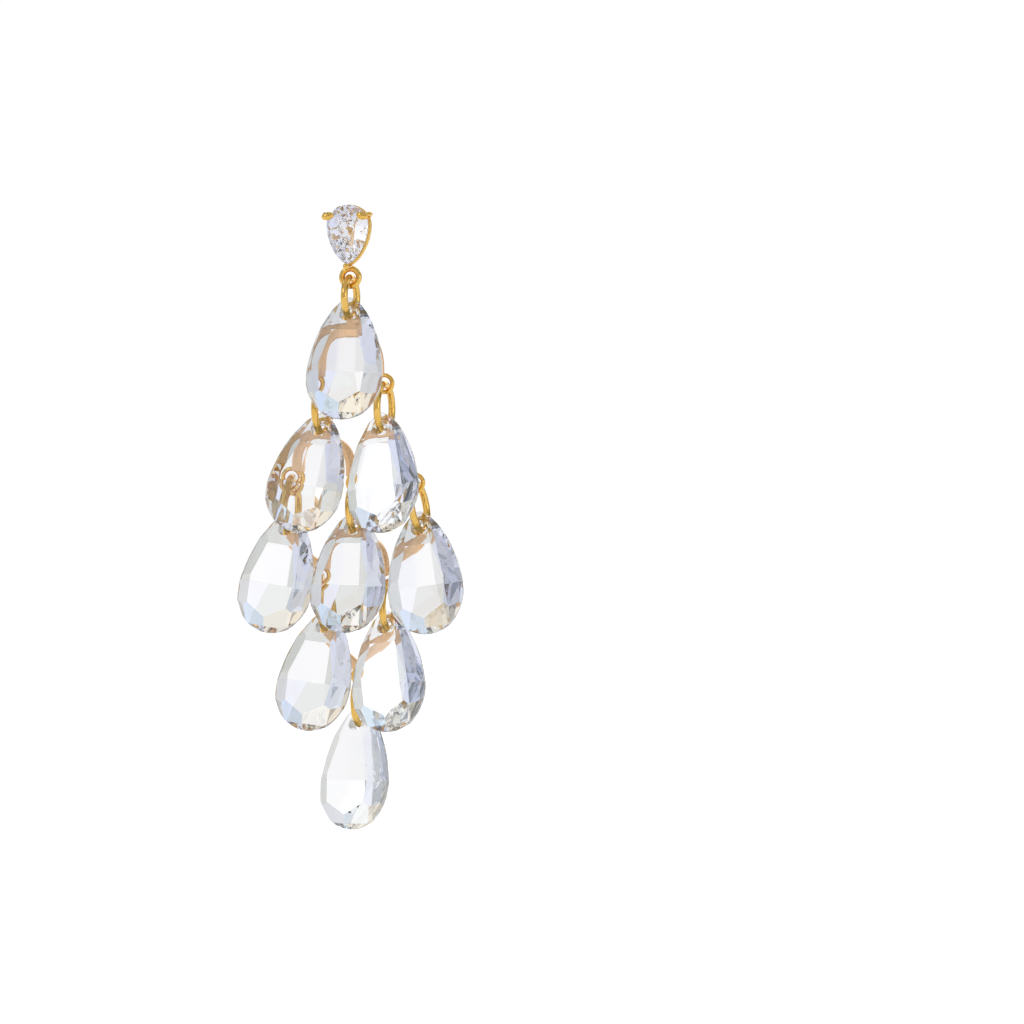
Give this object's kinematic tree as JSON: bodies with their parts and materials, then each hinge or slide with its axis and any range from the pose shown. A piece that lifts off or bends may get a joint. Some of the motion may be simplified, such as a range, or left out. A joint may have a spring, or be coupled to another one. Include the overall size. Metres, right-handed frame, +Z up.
{
  "type": "chandelier drop earring",
  "caption": "Gold-tone chandelier earring: a claw-set pear stone on an ear post, over tiers of faceted clear pear drops joined by jump rings and arched connectors.",
  "frame": {"origin": "the ear post's axis at the front of the lobe, which is the flat back face of the stud's plate", "axes": "+Z up, the earring hangs down -Z, the front faces -Y and the ear post points to +Y"},
  "size_m": [0.0299, 0.0153, 0.0793],
  "materials": {
    "polished_gold": "gold-plated brass, polished",
    "crystal_glass": "clear cut glass, polished facets with an iridescent coating",
    "cubic_zirconia": "clear cut stone, polished facets"
  },
  "bodies": {
    "stud": {"stud_setting": "polished_gold", "stud_stone": "cubic_zirconia"},
    "top_ring": {"top_ring": "polished_gold"},
    "drop": {"drop_ring_2": "polished_gold", "drop_ring_3": "polished_gold", "drop_ring_4": "polished_gold", "drop_ring_5": "polished_gold", "drop_ring_6": "polished_gold", "drop_ring_7": "polished_gold", "drop_ring_8": "polished_gold", "drop_ring_9": "polished_gold", "connector_1": "polished_gold", "connector_2": "polished_gold", "connector_3": "polished_gold", "connector_4": "polished_gold", "crystal_1": "crystal_glass", "crystal_2": "crystal_glass", "crystal_3": "crystal_glass", "crystal_4": "crystal_glass", "crystal_5": "crystal_glass", "crystal_6": "crystal_glass", "crystal_7": "crystal_glass", "crystal_8": "crystal_glass", "crystal_9": "crystal_glass"}
  },
  "joints": [
    {"name": "ring_swing", "type": "hinge", "parent": "stud", "child": "top_ring", "pos_m": [0, -0.00135, -0.00661], "axis": [1, 0, 0], "range_deg": [-25, 25]},
    {"name": "drop_sway", "type": "hinge", "parent": "top_ring", "child": "drop", "pos_m": [0, -0.00135, -0.01051], "axis": [0.0872, 0.9962, 0], "range_deg": [-15, 15]}
  ]
}
